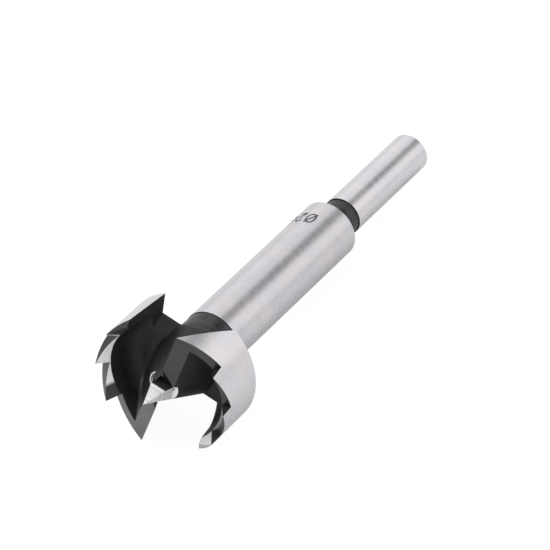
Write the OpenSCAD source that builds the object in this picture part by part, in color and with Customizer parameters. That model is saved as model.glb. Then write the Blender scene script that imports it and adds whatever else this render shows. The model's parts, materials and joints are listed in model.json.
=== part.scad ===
// Saw-tooth forstner bit, turned and ground from one piece of steel.
// The bit lies on a flat surface as it comes to rest, on its shank end and two corners of the head.

/* [Shank] */
// Diameter of the ground shank
shank_diameter = 8; // [6:0.5:10]
// Length of the ground shank
shank_length = 26.6; // [20:0.2:40]
// Chamfer on the shank end
shank_chamfer = 0.5; // [0.2:0.1:1]
// Diameter of the unground neck between shank and body
neck_diameter = 7.6; // [5:0.1:9]
// Length of the unground neck
neck_length = 4.9; // [2:0.1:10]

/* [Body] */
// Diameter of the ground body
body_diameter = 12; // [10.4:0.2:13.6]
// Length of the ground body
body_length = 42.3; // [20:0.1:80]
// Edge break at the neck end of the body
body_chamfer = 0.3; // [0.1:0.1:0.8]
// Diameter of the unground body behind the head
root_diameter = 11.8; // [10:0.1:13.4]
// Length of the unground body behind the head
root_length = 7; // [3:0.5:15]
// Radius where the body runs into the head
root_fillet = 1.2; // [0.4:0.1:1.8]

/* [Head] */
// Cutting diameter
head_diameter = 28; // [26:0.5:36]
// Height of the cutting edges over the back of the head
head_length = 11.2; // [9.5:0.1:14]
// Thickness of the back plate
plate_thickness = 2.4; // [1.6:0.1:3.4]
// Thickness of the toothed rim
rim_thickness = 1.8; // [1:0.1:2.2]
// Radius between the back plate and the rim
floor_radius = 3; // [1:0.1:4]
// Diameter of the core at the back of the head
core_base_diameter = 14.8; // [14:0.2:16]
// Diameter of the core level with the cutting edges
core_top_diameter = 4.6; // [4.6:0.2:6]

/* [Cutters] */
// Lean of the cutting face back from the axis
rake_angle = 29.3; // [22:0.1:32]
// Turn of each cutting edge ahead of the diameter through the corners
edge_lead = 3.5; // [0:0.1:4]
// Thickness of each cutter, measured level
cutter_thickness = 2.4; // [1.4:0.1:3]
// Relief behind every cutting edge and tooth
relief_angle = 19.5; // [12:0.5:24]

/* [Teeth] */
// Number of teeth on each wing, with the cutter's own corner
tooth_count = 4; // [3:1:4]
// Angle from the cutter's corner to the next tooth
first_pitch = 41.3; // [38:0.1:46]
// Angle between the other teeth
tooth_pitch = 33.7; // [28:0.1:36]
// Lean of the teeth's front faces
tooth_face_lean = 8; // [2:0.5:16]
// Height of the bevel inside the teeth
bevel_height = 2.5; // [2:0.1:4.5]

/* [Flutes] */
// Distance from the cutters' diameter to the trailing wall, at the back
flute_width = 8.34; // [7.4:0.02:9]
// Turn of the trailing wall in plan
wall_turn = 8.9; // [0:0.1:12]
// Lean of the trailing wall
wall_lean = 9.9; // [0:0.1:14]
// Slope of the plate's edge in the flute
floor_slope = 45; // [25:1:60]

/* [Centre point] */
// Height of the point over the cutting edges
point_length = 5.3; // [3:0.1:8]
// Width across the flats that face the flutes, level with the cutting edges
point_width = 3.5; // [2.4:0.1:3.5]
// Width of the point's foot between the cutters
point_breadth = 2.5; // [2:0.1:2.8]
// Height of the foot's shoulder over the cutting edges
point_shoulder = 0.6; // [0:0.1:1]
// Turn of the flats from the cutters' diameter
point_turn = 2; // [-20:0.1:20]
// Depth that the flats in the flutes run down below the cutting edges
point_run = 1.6; // [1.4:0.1:2.4]
// Distance from the axis to the end of the hollow between the point and a cutter
pocket_reach = 5.1; // [4:0.1:5.1]
// Slope of the hollow's floor down to the point
pocket_slope = 18; // [8:1:18]

/* [Hidden] */
$fn = 96;
wings = [0, 180];
shank_radius = shank_diameter / 2;
neck_radius = neck_diameter / 2;
body_radius = body_diameter / 2;
root_radius = root_diameter / 2;
head_radius = head_diameter / 2;
rim_inner_radius = head_radius - rim_thickness;
// Half the size of the blocks that stand for one side of a plane
reach = 3 * head_diameter;
// Stations along the axis, from the shank end
neck_z = shank_length;
body_z = neck_z + neck_length;
root_z = body_z + body_length;
head_z = root_z + root_length;
edge_z = head_z + head_length;
tip_z = edge_z + point_length;
// The flute's floor is level with the body's surface at the back of the head
flute_floor = body_radius;
// Stock over the cutting edges, which the relief takes off
top_stock = 1;
blank_length = head_length + top_stock;
// Stock left ahead of the cutting face, which the flute takes off
face_stock = 0.5;
// Width of the teeth's tips
tooth_land = 0.1;
// Depth of the centre point's foot in the core
point_seat = point_run - 0.1;
// Angle of each tooth's tip behind the cutter's corner
function tip_angle(index) = index == 0 ? 0 : first_pitch + (index - 1) * tooth_pitch;

// Resting pose: the front corner of one wing, the back corner of the other wing's trailing wall,
// and the end of the shank all touch the surface.
wall_grade = tan(wall_turn);
wall_offset = flute_width - wall_grade * flute_floor;
wall_x = (sqrt((1 + wall_grade ^ 2) * head_radius ^ 2 - wall_offset ^ 2) - wall_grade * wall_offset)
    / (1 + wall_grade ^ 2);
wall_angle = acos(wall_x / head_radius);
front_run = edge_z - shank_chamfer;
back_run = head_z - shank_chamfer;
pose_p = head_radius * (back_run - front_run * cos(wall_angle));
pose_q = -head_radius * front_run * sin(wall_angle);
pose_k = shank_radius * (back_run - front_run);
down_angle = atan2(pose_q, pose_p) + acos(pose_k / norm([pose_p, pose_q]));
tilt = atan((head_radius * cos(down_angle) - shank_radius) / front_run);
rest_height = shank_radius * cos(tilt) - shank_chamfer * sin(tilt);
rest_shift = (tip_z * cos(tilt) - (shank_radius - shank_chamfer) * sin(tilt)) / 2;

// Shank, neck, body and unground root, as one turned profile
module stem() {
    rotate_extrude()
        polygon([
            [0, 0],
            [shank_radius - shank_chamfer, 0],
            [shank_radius, shank_chamfer],
            [shank_radius, neck_z],
            [neck_radius, neck_z],
            [neck_radius, body_z],
            [body_radius - body_chamfer, body_z],
            [body_radius, body_z + body_chamfer],
            [body_radius, root_z],
            [root_radius, root_z],
            [root_radius, head_z + plate_thickness],
            [0, head_z + plate_thickness]
        ]);
    translate([0, 0, head_z - root_fillet])
        rotate_extrude()
            difference() {
                square([root_radius + root_fillet, root_fillet]);
                translate([root_radius + root_fillet, 0])
                    circle(root_fillet);
            }
}

// Back plate and rim, before the flutes and the teeth are cut
module cup() {
    rotate_extrude()
        difference() {
            square([head_radius, blank_length]);
            translate([0, plate_thickness]) {
                square([rim_inner_radius - floor_radius, blank_length]);
                translate([0, floor_radius])
                    square([rim_inner_radius, blank_length]);
                translate([rim_inner_radius - floor_radius, floor_radius])
                    circle(floor_radius);
            }
        }
}

// One cutter: a plate that leans back from its edge down to the back of the head
module cutter() {
    lean = head_length * tan(rake_angle);
    rise = top_stock * tan(rake_angle);
    intersection() {
        translate([head_radius, 0, 0])
            rotate([0, 0, -edge_lead])
                rotate([90, 0, 90])
                    translate([0, 0, -head_radius])
                        linear_extrude(head_radius + face_stock)
                            polygon([
                                [face_stock + rise, blank_length],
                                [rise - cutter_thickness, blank_length],
                                [-cutter_thickness - lean, 0],
                                [face_stock - lean, 0]
                            ]);
        cylinder(r = head_radius, h = blank_length);
    }
}

// Stock beyond one of the point's flats, down to where the grinding wheel runs out
module beyond_flat() {
    spread = point_width / 2 / point_length;
    foot = (point_length + point_run) * spread;
    rotate([90, 0, 90])
        translate([0, 0, -head_length])
            linear_extrude(2 * head_length)
                polygon([
                    [-top_stock * spread, head_length + point_length + top_stock],
                    [foot, head_length - point_run],
                    [foot + head_length, 0.8 * head_length - point_run],
                    [foot + head_length, head_length + point_length + top_stock]
                ]);
}

// Cone that carries the cutters and the centre point, ground away along the flats in the flutes
module core() {
    difference() {
        cylinder(d1 = core_base_diameter, d2 = core_top_diameter, h = head_length);
        for (turn = wings)
            rotate([0, 0, point_turn + turn])
                beyond_flat();
    }
}

// Everything ahead of a wing's cutting face
module ahead_of_rake() {
    translate([head_radius, 0, head_length])
        rotate([-rake_angle, 0, -edge_lead])
            translate([-reach, 0, -reach])
                cube(2 * reach);
}

// Everything ahead of the front face of one tooth
module ahead_of_tooth(index) {
    rotate([0, 0, -tip_angle(index)])
        translate([0, 0, head_length])
            rotate([tooth_face_lean, 0, 0])
                translate([-reach, 0, -reach])
                    cube(2 * reach);
}

// The flute between a wing's cutting face and the other wing's trailing wall
module flute() {
    intersection() {
        ahead_of_rake();
        translate([flute_floor, flute_width, 0])
            rotate([-wall_lean, 0, wall_turn])
                translate([-reach, -2 * reach, -reach])
                    cube(2 * reach);
        translate([flute_floor, 0, 0])
            rotate([0, -floor_slope, 0])
                translate([0, -reach, -reach])
                    cube(2 * reach);
        translate([0, -reach, -reach])
            cube(2 * reach);
    }
}

// Stock over the relief behind one tooth's edge
module relief(index) {
    rotate([0, 0, -tip_angle(index)])
        translate([head_radius, 0, 0])
            rotate([0, 0, index == 0 ? -edge_lead : 0])
                rotate([90, 0, 90])
                    translate([0, 0, -head_radius])
                        linear_extrude(2 * head_radius)
                            polygon([
                                [face_stock, head_length + face_stock * tan(relief_angle)],
                                [-head_radius, head_length - head_radius * tan(relief_angle)],
                                [-head_radius, 2 * head_length],
                                [head_length, 2 * head_length]
                            ]);
}

// Everything ahead of the other wing's cutting face
module this_wing() {
    rotate([0, 0, 180])
        ahead_of_rake();
}

// The ring that the rim's teeth lie in
module rim_zone() {
    difference() {
        cylinder(r = 2 * head_radius, h = 2 * head_length);
        translate([0, 0, -head_length])
            cylinder(r = rim_inner_radius - rim_thickness, h = 4 * head_length);
    }
}

// The gullets of one wing, each from a tooth's edge to the next tooth's front face
module gullets() {
    difference() {
        relief(0);
        difference() {
            rim_zone();
            ahead_of_tooth(1);
        }
    }
    for (index = [1 : tooth_count - 1])
        intersection() {
            relief(index);
            rim_zone();
            if (index < tooth_count - 1)
                ahead_of_tooth(index + 1);
            else
                this_wing();
        }
}

// Bevel inside the teeth behind the cutter's own
module rim_bevel() {
    intersection() {
        difference() {
            translate([0, 0, head_length - bevel_height])
                cylinder(
                    r1 = rim_inner_radius - tooth_land,
                    r2 = head_radius - tooth_land + rim_thickness * top_stock / bevel_height,
                    h = bevel_height + top_stock
                );
            ahead_of_tooth(1);
        }
        this_wing();
        rim_zone();
    }
}

// Hollow ground between the centre point and one cutter's edge
module pocket() {
    intersection() {
        linear_extrude(2 * head_length)
            polygon([
                [pocket_reach, (head_radius - pocket_reach) * tan(edge_lead)],
                [point_breadth / 4, point_breadth / 2],
                [point_breadth / 4, -point_width],
                [point_breadth / 2, -point_width * 2 / 3]
            ]);
        translate([pocket_reach, 0, head_length])
            rotate([0, -pocket_slope, 0])
                translate([-reach, -reach, 0])
                    cube(2 * reach);
    }
}

// Four ground flats that meet in the tip, on a foot inside the core
module centre_point() {
    half_width = point_breadth / 2;
    rotate([0, 0, point_turn])
        difference() {
            rotate([90, 0, 0])
                linear_extrude(point_width + 2 * point_seat, center = true)
                    polygon([
                        [-half_width, head_length - point_seat],
                        [half_width, head_length - point_seat],
                        [half_width, head_length + point_shoulder],
                        [0, head_length + point_length],
                        [-half_width, head_length + point_shoulder]
                    ]);
            for (turn = wings)
                rotate([0, 0, turn])
                    beyond_flat();
        }
}

module head() {
    difference() {
        difference() {
            union() {
                cup();
                for (turn = wings)
                    rotate([0, 0, turn])
                        cutter();
            }
            for (turn = wings)
                rotate([0, 0, turn]) {
                    flute();
                    rim_bevel();
                }
        }
        for (turn = wings)
            rotate([0, 0, turn]) {
                gullets();
                pocket();
            }
    }
    difference() {
        core();
        for (turn = wings)
            rotate([0, 0, turn])
                pocket();
    }
    centre_point();
}

module forstner_bit() {
    color("silver")
        translate([0, rest_shift, rest_height])
            rotate([90 - tilt, 0, 0])
                rotate([0, 0, -90 - down_angle]) {
                    stem();
                    translate([0, 0, head_z])
                        head();
                }
}

forstner_bit();
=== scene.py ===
"""Forstner bit dressed for a studio picture: ground steel, black oxide and a plain white floor."""

import json
import math
from collections import namedtuple

import bpy
from mathutils import Matrix, Vector


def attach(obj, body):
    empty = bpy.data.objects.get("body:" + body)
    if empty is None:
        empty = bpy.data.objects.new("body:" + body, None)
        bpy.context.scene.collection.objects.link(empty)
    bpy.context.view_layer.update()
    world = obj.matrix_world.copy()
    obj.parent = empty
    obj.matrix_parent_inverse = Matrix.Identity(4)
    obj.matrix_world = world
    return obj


MM = 0.001

# Camera of the photograph: places in the row frame, in metres, and lens and sensor, in millimetres
CAMERA_PLACE = Vector((0.29833, -0.48004, 0.53016))
CAMERA_AIM = Vector((-0.00608, 0.00671, 0.0))
CAMERA_ROLL = math.radians(-0.15)
CAMERA_NEAR = 0.01
CAMERA_FAR = 20.0
CAMERA_LENS = 263.7
SENSOR_WIDTH = 36.0

# Stations along the bit from its shank end, and radii, in millimetres, as in the solid
SHANK_CHAMFER = 0.5
NECK_START = 26.6
BODY_START = 31.5
BODY_END = 73.8
HEAD_START = 80.8
EDGE_STATION = 92.0
BODY_RADIUS = 6.0
HEAD_RADIUS = 14.0
# The core's radii at the back of the head and level with the cutting edges
CORE_BASE_RADIUS = 7.4
CORE_TOP_RADIUS = 2.3
# A face whose centre lies within this of a station counts as at it
STATION_SLACK = 0.02

# The cutters' front corner stands this far round from straight down
CORNER_TURN = math.radians(13.18)

# The least height in the head and the greatest radius of the faces round the point, in millimetres
POINT_HEIGHT = 6.0
POINT_RADIUS = 5.0
# The least heights of the cutting faces and of the bevels inside the teeth
RAKE_HEIGHT = 5.0
BEVEL_HEIGHT = 7.0
# How far faces of the head look along the axis, as the share of their normal that lies along it
FLAT_FACING = (0.29, 0.34)
LEDGE_FACING = (0.975, 0.99)
POCKET_FACING = (0.94, 0.96)
RAKE_FACING = (0.48, 0.50)
RELIEF_FACING = (0.92, 0.97)
# The least such share on the tip of the point and on the bevels
TIP_FACING = 0.1
BEVEL_FACING = 0.3
# The share of the normal that looks outward: the least on the rim and on the reliefs
RIM_OUTWARD = 0.95
RELIEF_OUTWARD = -0.2
# The greatest such share on the bevels, which look inward
BEVEL_OUTWARD = -0.7
# The rim's faces lie past this share of the head's radius
RIM_SHARE = 0.93

# Turns from the cutters' front corner, in degrees, between which the teeth's faces get a painted bright
# reflection
LEFT_BEVEL_GLINTS = (-107.0, -51.0)
LAST_BEVEL_GLINT = (48.0, 72.0)
LAST_RELIEF_GLINT = (46.0, 72.0)
# The bevel with a fainter painted reflection, and its share of the brightness
FAINT_BEVEL_GLINT = (74.0, 105.0)
FAINT_GLINT_SHARE = 0.3

# Heights over the floor between which the relief's painted reflection goes from the lower wing's paler
# tone to the upper one's darker
RELIEF_REFLECTION_HEIGHTS = (5.0, 17.0)

# Where the painted highlight on the left ledge's rim fades in, from the core's outside, in millimetres
LEDGE_GLINT_FADE = (-0.24, -0.12)

# A painted highlight, a light line down the corner of the left bowl: the way across it, and its place
# that way in millimetres
CREASE_GLINT_ACROSS = Vector((-0.8785, -0.4614, 0.1236))
CREASE_GLINT_PLACE = 24.85
# Heights over the floor between which it shows, and the height in the head at which it starts
CREASE_GLINT_HEIGHTS = (4.0, 7.0)
CREASE_GLINT_START = 3.0

# Inside this radius the cutting faces are ground bare beside the point, in millimetres
BARE_RADIUS = 2.9

# A finish: share of metal, least roughness and its rise, and its texture's depth in metres and strength
Finish = namedtuple("Finish", "name metallic roughness spread depth strength")
STEEL = Finish("ground_steel", 1.0, 0.20, 0.16, 0.00001, 0.15)
SCALE = Finish("heat_scale", 0.9, 0.26, 0.20, 0.00002, 0.5)
OXIDE = Finish("black_oxide", 0.45, 0.46, 0.20, 0.00002, 0.4)
CUTTING_FACE = OXIDE._replace(name="cutting_face")
RELIEF = Finish("relief_ground", 1.0, 0.28, 0.16, 0.00001, 0.4)
BEVEL = Finish("bevel_ground", 0.3, 0.40, 0.16, 0.00001, 0.4)
FLAT = Finish("flat_ground", 0.45, 0.35, 0.20, 0.00001, 0.5)
LEDGE = Finish("run_out", 0.75, 0.30, 0.20, 0.0, 0.0)
ETCH = Finish("etched_mark", 0.4, 0.5, 0.2, 0.0, 0.0)

# Colours of the finishes: one colour, or a pair from the dark end to the light end
STEEL_COOL = ((0.55, 0.54, 0.57, 1.0), (0.80, 0.785, 0.82, 1.0))
STEEL_WARM = ((0.56, 0.535, 0.555, 1.0), (0.81, 0.78, 0.80, 1.0))
SCALE_TONES = ((0.028, 0.027, 0.03, 1.0), (0.11, 0.107, 0.111, 1.0))
OXIDE_TONES = ((0.015, 0.015, 0.016, 1.0), (0.046, 0.045, 0.047, 1.0))
# Colour of the painted highlight in the corner of the left bowl
CREASE_GLINT_TONE = (0.15, 0.15, 0.151, 1.0)
BARE_TONE = (0.90, 0.885, 0.88, 1.0)
# Painted reflections on the relief: darker on the upper wing, paler on the lower one, bright on the last
# tooth
UPPER_RELIEF_REFLECTION = ((0.065, 0.065, 0.067, 1.0), (0.11, 0.109, 0.109, 1.0))
LOWER_RELIEF_REFLECTION = ((0.17, 0.17, 0.173, 1.0), (0.25, 0.248, 0.247, 1.0))
LAST_TOOTH_GLINT = (0.62, 0.61, 0.625, 1.0)
# Painted reflections on the bevels: dark, and bright with the wheel's lines
BEVEL_DARK_REFLECTION = (0.04, 0.04, 0.041, 1.0)
BEVEL_BRIGHT_REFLECTION = ((0.82, 0.80, 0.815, 1.0), (0.96, 0.94, 0.955, 1.0))
FLAT_TONES = ((0.60, 0.59, 0.59, 1.0), (0.96, 0.945, 0.94, 1.0))
LEDGE_TONES = ((0.08, 0.079, 0.08, 1.0), (0.14, 0.138, 0.138, 1.0))
# Colour of the painted highlight on the ledges
LEDGE_GLINT = (0.88, 0.87, 0.865, 1.0)
ETCH_TONES = ((0.03, 0.03, 0.032, 1.0), (0.10, 0.10, 0.10, 1.0))
FLOOR_GREY = (0.72, 0.72, 0.72, 1.0)
WHITE = (1.0, 1.0, 1.0, 1.0)

# Grain of the turned and ground faces: how fine it is along the axis and across it, per millimetre
STEEL_GRAIN = (1.6, 0.5)
STEEL_LINES = (3.6, 0.2)
SCALE_LINES = (3.0, 0.3)
# How fine the wheel's lines are on the teeth and on the centre point's flats, per millimetre
TOOTH_LINES = 6.0
FLAT_LINES = 2.5
# How fine the clouds and patches of the finishes are, per metre
STEEL_CLOUD = 160.0
SCALE_PATCH = 420.0
OXIDE_PATCH = 300.0
OXIDE_GRAIN = 2600.0
WHEEL_CLOUD = 500.0
ETCH_PATCH = 2000.0

# The size mark on the body: its first sign's place, the signs' pitch and their size, in millimetres
MARK_STATION = 37.7
MARK_TURN = math.radians(-158.9)
MARK_PITCH = 2.35
MARK_HEIGHT = 2.9
MARK_WIDTH = 1.55
MARK_HALF = (MARK_WIDTH / 2, MARK_HEIGHT / 2)
MARK_STROKE = 0.36
MARK_LIFT = 0.01
MARK_STEP = 0.1
# One leg of an arc turns by about this many degrees, and an arc has at least this many legs
ARC_LEG = 8
LEAST_LEGS = 8

# The floor: its side in metres, its glow, and the glow's share in a direct view and in a mirrored one
FLOOR_SIDE = 6.0
FLOOR_GLOW = 1.07
SEEN_SHARE = 0.88
MIRRORED_SHARE = 0.05

# The room's dark spots: the way to each, the cosines over which it fades in, and how dark it is
BAND_WAY = Vector((0.16, 0.79, 0.59)).normalized()
BAND_FADE = (0.954, 1.0)
BAND_DARK = 0.75
SHOULDER_WAY = Vector((-0.16, 0.70, 0.70))
SHOULDER_FADE = (0.90, 0.99)
SHOULDER_DARK = 0.1
# The room is darker near the ground, up to this rise
GROUND_RISE = 0.14
GROUND_DARK = 0.42
# The lamp's place and side in metres, and its power in watts
LAMP_PLACE = Vector((-0.7, -0.05, 0.65))
LAMP_SIDE = 0.6
LAMP_POWER = 3.0


class Value:
    """A node socket that takes part in Python sums, which add their Math nodes to the tree."""

    def __init__(self, shader, socket):
        self.shader = shader
        self.socket = socket

    def _math(self, operation, *others):
        sockets = dict(enumerate((self, *others)))
        return self.shader.node("ShaderNodeMath", {"operation": operation}, sockets)

    def __add__(self, other):
        return self._math("ADD", other)

    def __radd__(self, other):
        return self._math("ADD", other)

    def __sub__(self, other):
        return self._math("SUBTRACT", other)

    def __rsub__(self, other):
        return self._math("MULTIPLY", -1.0)._math("ADD", other)

    def __mul__(self, other):
        return self._math("MULTIPLY", other)

    def __rmul__(self, other):
        return self._math("MULTIPLY", other)

    def __truediv__(self, other):
        return self._math("DIVIDE", other)

    def __pow__(self, other):
        return self._math("POWER", other)

    def angle(self, ahead):
        """The angle in radians whose tangent is this over ahead."""
        return self._math("ARCTAN2", ahead)

    def about(self, share):
        """A noise's swing about its middle, times a share."""
        return (self - 0.5) * share

    def clamped(self):
        return self._math("MAXIMUM", 0.0)._math("MINIMUM", 1.0)

    def step(self, start, end):
        """0 below start, 1 over end and a smooth rise between them."""
        settings = {"interpolation_type": "SMOOTHSTEP"}
        sockets = {"Value": self, "From Min": start, "From Max": end}
        return self.shader.node("ShaderNodeMapRange", settings, sockets)

    def between(self, start, end, soft):
        """1 from start to end, with a soft rise before start and a soft fall before end."""
        return self.step(start - soft, start) * (1.0 - self.step(end - soft, end))


class Shader:
    """Builds one node tree."""

    def __init__(self, tree):
        self.tree = tree
        tree.nodes.clear()

    def node(self, kind, settings, sockets, output=0):
        """Adds a node, sets its settings, then its inputs, and gives back one output."""
        made = self.tree.nodes.new(kind)
        for name, value in settings.items():
            setattr(made, name, value)
        for key, value in sockets.items():
            if isinstance(value, Value):
                self.tree.links.new(value.socket, made.inputs[key])
            else:
                made.inputs[key].default_value = value
        return Value(self, made.outputs[output]) if made.outputs else None

    def dot(self, vector, direction):
        settings = {"operation": "DOT_PRODUCT"}
        return self.node("ShaderNodeVectorMath", settings, {0: vector, 1: tuple(direction)}, "Value")

    def rise(self, vector):
        """Height over the floor, in millimetres."""
        return self.dot(vector, (0.0, 0.0, 1.0 / MM))

    def lines(self, along, scale):
        """Noise of one dimension, which gives straight lines across it."""
        sockets = {"W": along, "Scale": scale, "Detail": 3.0}
        return self.node("ShaderNodeTexNoise", {"noise_dimensions": "1D"}, sockets)

    def noise(self, vector, scale, detail=3.0):
        return self.node("ShaderNodeTexNoise", {}, {"Vector": vector, "Scale": scale, "Detail": detail})

    def grain(self, bit, vector, along, around):
        """Noise with one scale along the bit's axis and another across it, each per millimetre."""
        sockets = {
            "X": self.dot(vector, bit.axis * (along / MM)),
            "Y": self.dot(vector, bit.down * (around / MM)),
            "Z": self.dot(vector, bit.across * (around / MM)),
        }
        return self.noise(self.node("ShaderNodeCombineXYZ", {}, sockets), 1.0)

    def station(self, bit, vector):
        """Distance along the axis from the shank end, in millimetres."""
        return (self.dot(vector, bit.axis) - bit.start.dot(bit.axis)) / MM

    def radius(self, bit, vector):
        """Distance from the axis, in millimetres."""
        ahead = self.dot(vector, bit.down) - bit.start.dot(bit.down)
        beside = self.dot(vector, bit.across) - bit.start.dot(bit.across)
        return (ahead * ahead + beside * beside) ** 0.5 / MM

    def turn(self, bit, vector):
        """Turn round the axis from the cutters' front corner, in degrees."""
        ahead = bit.radial(0.0)
        beside = bit.radial(math.pi / 2)
        along_ahead = self.dot(vector, ahead) - bit.start.dot(ahead)
        along_beside = self.dot(vector, beside) - bit.start.dot(beside)
        return along_beside.angle(along_ahead) * math.degrees(1.0)

    def mix(self, factor, first, second):
        """Mixes two colours."""
        settings = {"data_type": "RGBA"}
        sockets = {0: factor, 6: first, 7: second}
        return self.node("ShaderNodeMix", settings, sockets, 2)

    def tint(self, tone, colours):
        """A colour between the two of a pair."""
        return self.mix(tone, *colours)

    def bump(self, height, distance, strength):
        sockets = {"Height": height, "Distance": distance, "Strength": strength}
        return self.node("ShaderNodeBump", {}, sockets)


class Bit:
    """The bit's own frame, taken from the shank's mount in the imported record."""

    def __init__(self, record):
        shank = record["mounts"][0]
        self.axis = -Vector(shank["axis"]).normalized()
        self.start = Vector(shank["pos_m"]) - self.axis * (SHANK_CHAMFER * MM)
        self.down = Vector((0.0, 0.0, -1.0))
        self.down = (self.down - self.axis * self.down.dot(self.axis)).normalized()
        self.across = self.axis.cross(self.down)

    def place(self, point):
        """Station along the axis and radius, in millimetres, and turn from the cutters' front corner."""
        offset = point - self.start
        u = offset.dot(self.down)
        v = offset.dot(self.across)
        return offset.dot(self.axis) / MM, math.hypot(u, v) / MM, math.atan2(v, u) + CORNER_TURN

    def radial(self, turn):
        """The way outward at a turn from the cutters' front corner."""
        angle = turn - CORNER_TURN
        return self.down * math.cos(angle) + self.across * math.sin(angle)

    def point(self, station, radius, turn):
        """The place that has this station, radius and turn."""
        return self.start + self.axis * (station * MM) + self.radial(turn) * (radius * MM)


def within(value, span):
    return span[0] < value < span[1]


def finish_of(bit, polygon):
    """Which finish one face of the solid has, from its place and the way it faces."""
    station, radius, turn = bit.place(polygon.center)
    height = station - HEAD_START
    axial = polygon.normal.dot(bit.axis)
    outward = polygon.normal.dot(bit.radial(turn))
    if station < NECK_START - STATION_SLACK:
        return "ground"
    if station < BODY_START - STATION_SLACK:
        return "scale"
    if station < BODY_END - STATION_SLACK:
        return "ground"
    if height < -STATION_SLACK:
        return "scale"
    if outward > RIM_OUTWARD and radius > RIM_SHARE * HEAD_RADIUS:
        return "ground"
    if station > EDGE_STATION + STATION_SLACK:
        return "flat" if axial > TIP_FACING else "oxide"
    if height > POINT_HEIGHT and radius < POINT_RADIUS:
        if within(axial, FLAT_FACING):
            return "flat"
        if within(axial, LEDGE_FACING):
            return "ledge"
        if within(axial, POCKET_FACING):
            return "scale"
    if within(axial, RAKE_FACING) and height > RAKE_HEIGHT:
        return "rake"
    if within(axial, RELIEF_FACING) and outward > RELIEF_OUTWARD:
        return "relief"
    if outward < BEVEL_OUTWARD and axial > BEVEL_FACING and height > BEVEL_HEIGHT:
        return "bevel"
    return "oxide"


def start_material(name):
    """A new material, the shader that builds its tree and the place on the object."""
    material = bpy.data.materials.new(name)
    material.use_nodes = True
    shader = Shader(material.node_tree)
    place = shader.node("ShaderNodeTexCoord", {}, {}, "Object")
    return material, shader, place


def end_material(shader, finish, colour, texture, relief=None):
    """Puts a Principled shader on the output, rougher with the texture and bumped by any relief."""
    inputs = {
        "Base Color": colour,
        "Metallic": finish.metallic,
        "Roughness": finish.roughness + texture * finish.spread,
    }
    if relief is not None:
        inputs["Normal"] = shader.bump(relief, finish.depth, finish.strength)
    surface = shader.node("ShaderNodeBsdfPrincipled", {}, inputs)
    shader.node("ShaderNodeOutputMaterial", {}, {"Surface": surface})


def ground_steel(bit):
    """Cylindrically ground steel with a fine grain round the axis, a little darker on the body."""
    material, shader, place = start_material(STEEL.name)
    grain = shader.grain(bit, place, *STEEL_GRAIN)
    lines = shader.grain(bit, place, *STEEL_LINES)
    cloud = shader.noise(place, STEEL_CLOUD)
    body = shader.station(bit, place).between(BODY_START, HEAD_START, soft=1.0)
    tone = grain.about(0.4) + lines.about(0.3) + cloud.about(0.5) + 0.76 - body * 0.26
    cool = shader.tint(tone.clamped(), STEEL_COOL)
    warm = shader.tint(tone.clamped(), STEEL_WARM)
    colour = shader.mix(cloud.step(0.4, 0.6), cool, warm)
    end_material(shader, STEEL, colour, grain * 0.625 + cloud * 0.375, grain * 0.6 + lines * 0.4)
    return material


def heat_scale(bit):
    """Unground steel with a thin dark scale from hardening, darker near the head."""
    material, shader, place = start_material(SCALE.name)
    turned = shader.grain(bit, place, *SCALE_LINES)
    patch = shader.noise(place, SCALE_PATCH, detail=4.0)
    near_head = shader.station(bit, place).step(BODY_END, HEAD_START)
    tone = turned.about(0.9) + patch.about(1.2) + 0.45 - near_head * 0.3
    colour = shader.tint(tone.clamped(), SCALE_TONES)
    end_material(shader, SCALE, colour, patch, turned * 0.5 + patch * 0.5)
    return material


def crease_glint(shader, bit, place):
    """Where a highlight is painted lighter on the oxide, in the corner of the left bowl."""
    offset = shader.dot(place, CREASE_GLINT_ACROSS / MM) - CREASE_GLINT_PLACE
    low = shader.rise(place).between(*CREASE_GLINT_HEIGHTS, soft=1.8)
    inside = shader.station(bit, place).between(HEAD_START + CREASE_GLINT_START, EDGE_STATION, soft=1.0)
    return (1.0 - (offset * offset).step(0.0, 0.3)) * low * inside


def black_oxide(bit, finish, bare_radius):
    """Blackened steel with a faint mottle, a soft sheen and a painted highlight in the left bowl's
    corner, ground bare inside one radius.
    """
    material, shader, place = start_material(finish.name)
    patch = shader.noise(place, OXIDE_PATCH, detail=4.0)
    grain = shader.noise(place, OXIDE_GRAIN, detail=2.0)
    tone = patch.about(1.4) + grain.about(0.6) + 0.5
    plain = shader.tint(tone.clamped(), OXIDE_TONES)
    # The oxide gets the painted highlight line in the corner of the left bowl
    black = shader.mix(crease_glint(shader, bit, place), plain, CREASE_GLINT_TONE)
    covered = shader.radius(bit, place).step(bare_radius - 0.1, bare_radius)
    colour = shader.mix(covered, BARE_TONE, black)
    end_material(shader, finish, colour, patch, grain * 0.6 + patch * 0.4)
    return material


def wheel_lines(shader, place, direction, scale):
    """Lines ground across one direction, and the tone that they give with a faint cloud."""
    lines = shader.lines(shader.dot(place, direction / MM), scale)
    cloud = shader.noise(place, WHEEL_CLOUD)
    tone = lines.about(0.9) + cloud.about(0.4) + 0.5
    return lines, tone.clamped()


def relief_ground(bit):
    """Dark ground relief behind the edges, with a painted reflection: paler on the lower wing and bright
    on one last tooth.
    """
    material, shader, place = start_material(RELIEF.name)
    lines, tone = wheel_lines(shader, place, bit.radial(0.0), TOOTH_LINES)
    upper = shader.tint(tone, UPPER_RELIEF_REFLECTION)
    lower = shader.tint(tone, LOWER_RELIEF_REFLECTION)
    # Painted reflection: the lower wing paler, the upper one darker
    painted_by_height = shader.mix(shader.rise(place).step(*RELIEF_REFLECTION_HEIGHTS), lower, upper)
    last_tooth_glint = shader.turn(bit, place).between(*LAST_RELIEF_GLINT, soft=2.0)
    colour = shader.mix(last_tooth_glint, painted_by_height, LAST_TOOTH_GLINT)
    end_material(shader, RELIEF, colour, lines, lines)
    return material


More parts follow.
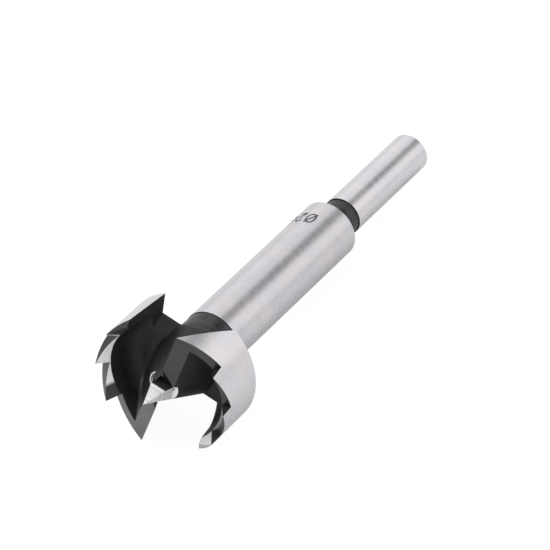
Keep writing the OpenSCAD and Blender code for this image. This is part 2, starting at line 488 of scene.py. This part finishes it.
def bevel_ground(bit):
    """Bevel inside the teeth, with a painted reflection: bright on some of them and dark on the others.
    """
    material, shader, place = start_material(BEVEL.name)
    lines, tone = wheel_lines(shader, place, bit.axis, TOOTH_LINES)
    turn = shader.turn(bit, place)
    # Where the bevels get a painted bright reflection, fainter on one of them
    ground = turn.between(*LEFT_BEVEL_GLINTS, soft=4.0) + turn.between(*LAST_BEVEL_GLINT, soft=2.0)
    faint_glint = turn.between(*FAINT_BEVEL_GLINT, soft=2.0) * FAINT_GLINT_SHARE
    colour = shader.mix(ground + faint_glint, BEVEL_DARK_REFLECTION, shader.tint(tone, BEVEL_BRIGHT_REFLECTION))
    end_material(shader, BEVEL, colour, lines, lines)
    return material


def flat_ground(bit):
    """Bright flats of the centre point, ground in lines across the axis."""
    material, shader, place = start_material(FLAT.name)
    lines, tone = wheel_lines(shader, place, bit.axis, FLAT_LINES)
    streak = lines.step(0.38, 0.62) * 0.6 + tone * 0.4
    end_material(shader, FLAT, shader.tint(streak, FLAT_TONES), lines, lines)
    return material


def run_out(bit):
    """Ledges where the wheel ran out below the flats, with painted light: bright on the right and a
    painted highlight at the left one's rim.
    """
    material, shader, place = start_material(LEDGE.name)
    lines, tone = wheel_lines(shader, place, bit.axis, TOOTH_LINES)
    share = (shader.station(bit, place) - HEAD_START) / (EDGE_STATION - HEAD_START)
    core_radius = CORE_BASE_RADIUS + share * (CORE_TOP_RADIUS - CORE_BASE_RADIUS)
    # Painted light: the whole right ledge bright, the left one only at its rim
    right_ledge_glint = shader.dot(place, (1.0 / MM, 0.0, 0.0)).step(0.0, 1.0)
    rim = (shader.radius(bit, place) - core_radius + right_ledge_glint).step(*LEDGE_GLINT_FADE)
    colour = shader.mix(rim, shader.tint(tone, LEDGE_TONES), LEDGE_GLINT)
    end_material(shader, LEDGE, colour, lines)
    return material


def etched():
    """The dark etch of the size mark."""
    material, shader, place = start_material(ETCH.name)
    patch = shader.noise(place, ETCH_PATCH)
    end_material(shader, ETCH, shader.tint(patch, ETCH_TONES), patch)
    return material


def dress(bit, node):
    """Gives each face of the solid the finish of its place."""
    finishes = {
        "ground": ground_steel(bit),
        "scale": heat_scale(bit),
        "oxide": black_oxide(bit, OXIDE, 0.0),
        "rake": black_oxide(bit, CUTTING_FACE, BARE_RADIUS),
        "relief": relief_ground(bit),
        "bevel": bevel_ground(bit),
        "flat": flat_ground(bit),
        "ledge": run_out(bit),
    }
    names = list(finishes)
    node.data.materials.clear()
    for finish in finishes.values():
        node.data.materials.append(finish)
    for polygon in node.data.polygons:
        polygon.material_index = names.index(finish_of(bit, polygon))


def arc(centre, size, start, end):
    """Points on part of an ellipse, with its angles in degrees."""
    count = max(LEAST_LEGS, int(abs(end - start) / ARC_LEG))
    points = []
    for index in range(count + 1):
        angle = math.radians(start + (end - start) * index / count)
        points.append((centre[0] + size[0] * math.cos(angle), centre[1] + size[1] * math.sin(angle)))
    return points


def diameter_sign():
    """The strokes of a ring with a slash."""
    half_width, half_height = MARK_HALF
    slash = [(-half_width, -1.08 * half_height), (half_width, 1.08 * half_height)]
    return [arc((0, 0), (1.1 * half_width, half_height), 0, 360), slash]


def figure_two():
    """The one stroke of a 2."""
    half_width, half_height = MARK_HALF
    bow = arc((0, 0.45 * half_height), (0.9 * half_width, 0.55 * half_height), 165, -35)
    return [bow + [(-half_width, -half_height), (half_width, -half_height)]]


def figure_eight():
    """The two rings of an 8."""
    half_width, half_height = MARK_HALF
    upper = arc((0, 0.5 * half_height), (0.8 * half_width, 0.5 * half_height), 0, 360)
    lower = arc((0, -0.5 * half_height), (half_width, 0.5 * half_height), 0, 360)
    return [upper, lower]


def add_stroke(bit, stroke, offset, vertices, faces):
    """Adds one pen stroke as a ribbon that lies on the body."""
    path = [Vector(stroke[0])]
    for corner in stroke[1:]:
        leg = Vector(corner) - path[-1]
        from_here = path[-1]
        count = math.ceil(leg.length / MARK_STEP)
        path.extend(from_here + leg * (index / count) for index in range(1, count + 1))
    first = len(vertices)
    for index, point in enumerate(path):
        before = path[max(index - 1, 0)]
        after = path[min(index + 1, len(path) - 1)]
        side = (after - before).normalized().orthogonal() * (MARK_STROKE / 2)
        for edge in (point - side, point + side):
            turn = MARK_TURN + (offset + edge.x) / BODY_RADIUS
            vertices.append(bit.point(MARK_STATION + edge.y, BODY_RADIUS + MARK_LIFT, turn))
    for index in range(first, len(vertices) - 2, 2):
        faces.append((index, index + 1, index + 3, index + 2))


def make_mark(bit):
    """The plain size mark, a diameter of 28 mm, with its tops towards the head."""
    vertices = []
    faces = []
    for place, sign in enumerate((diameter_sign(), figure_two(), figure_eight())):
        for stroke in sign:
            add_stroke(bit, stroke, place * MARK_PITCH, vertices, faces)
    mesh = bpy.data.meshes.new("size_mark")
    mesh.from_pydata(vertices, [], faces)
    mesh.materials.append(etched())
    mark = bpy.data.objects.new("size_mark", mesh)
    bpy.context.scene.collection.objects.link(mark)
    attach(mark, "root")


def make_floor():
    """A pale floor that shows white, with the bit's soft shadow on it."""
    bpy.ops.mesh.primitive_plane_add(size=FLOOR_SIDE)
    floor = bpy.context.object
    floor.name = "floor"
    material = bpy.data.materials.new("floor_white")
    material.use_nodes = True
    shader = Shader(material.node_tree)
    matt = shader.node("ShaderNodeBsdfDiffuse", {}, {"Color": FLOOR_GREY})
    glow = shader.node("ShaderNodeEmission", {}, {"Color": WHITE, "Strength": FLOOR_GLOW})
    seen = shader.node("ShaderNodeLightPath", {}, {}, "Is Camera Ray")
    mirrored = shader.node("ShaderNodeLightPath", {}, {}, "Is Glossy Ray")
    through = shader.node("ShaderNodeLightPath", {}, {}, "Is Transmission Ray")
    lift = (seen * SEEN_SHARE + mirrored * MIRRORED_SHARE + through * SEEN_SHARE).clamped()
    surface = shader.node("ShaderNodeMixShader", {}, {0: lift, 1: matt, 2: glow})
    shader.node("ShaderNodeOutputMaterial", {}, {"Surface": surface})
    floor.data.materials.append(material)


def make_light():
    """A white room with two soft dark spots and a darker ground line, and one soft lamp."""
    world = bpy.data.worlds.new("studio")
    bpy.context.scene.world = world
    world.use_nodes = True
    shader = Shader(world.node_tree)
    way = shader.node("ShaderNodeTexCoord", {}, {}, "Generated")
    band = shader.dot(way, BAND_WAY).step(*BAND_FADE)
    shoulder = shader.dot(way, SHOULDER_WAY).step(*SHOULDER_FADE)
    near_ground = 1.0 - shader.dot(way, (0.0, 0.0, 1.0)).step(0.0, GROUND_RISE)
    strength = 1.0 - band * BAND_DARK - shoulder * SHOULDER_DARK - near_ground * GROUND_DARK
    room = shader.node("ShaderNodeBackground", {}, {"Color": WHITE, "Strength": strength})
    shader.node("ShaderNodeOutputWorld", {}, {"Surface": room})
    lamp = bpy.data.lights.new("key_light", "AREA")
    lamp.size = LAMP_SIDE
    lamp.energy = LAMP_POWER
    light = bpy.data.objects.new("key_light", lamp)
    light.location = LAMP_PLACE
    light.rotation_mode = "QUATERNION"
    light.rotation_quaternion = (-LAMP_PLACE).to_track_quat("-Z", "Y")
    bpy.context.scene.collection.objects.link(light)


def make_camera():
    """The camera of the photograph."""
    data = bpy.data.cameras.new("camera")
    data.sensor_width = SENSOR_WIDTH
    data.lens = CAMERA_LENS
    data.clip_start = CAMERA_NEAR
    data.clip_end = CAMERA_FAR
    camera = bpy.data.objects.new("camera", data)
    camera.location = CAMERA_PLACE
    camera.rotation_mode = "QUATERNION"
    level = (CAMERA_AIM - CAMERA_PLACE).to_track_quat("-Z", "Y")
    camera.rotation_quaternion = level @ Matrix.Rotation(CAMERA_ROLL, 3, "Z").to_quaternion()
    bpy.context.scene.collection.objects.link(camera)
    bpy.context.scene.camera = camera


def set_view():
    bpy.context.scene.view_settings.view_transform = "Standard"


with open("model.json") as file:
    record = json.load(file)
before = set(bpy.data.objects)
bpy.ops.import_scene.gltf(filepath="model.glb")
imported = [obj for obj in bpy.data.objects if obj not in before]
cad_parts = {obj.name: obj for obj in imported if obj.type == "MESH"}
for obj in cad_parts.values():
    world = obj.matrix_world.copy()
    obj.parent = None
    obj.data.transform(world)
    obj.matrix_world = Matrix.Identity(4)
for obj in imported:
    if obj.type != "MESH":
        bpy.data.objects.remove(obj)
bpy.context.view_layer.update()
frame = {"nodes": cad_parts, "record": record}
the_bit = Bit(frame["record"])
dress(the_bit, frame["nodes"]["forstner_bit"])
make_mark(the_bit)
make_floor()
make_light()
make_camera()
set_view()
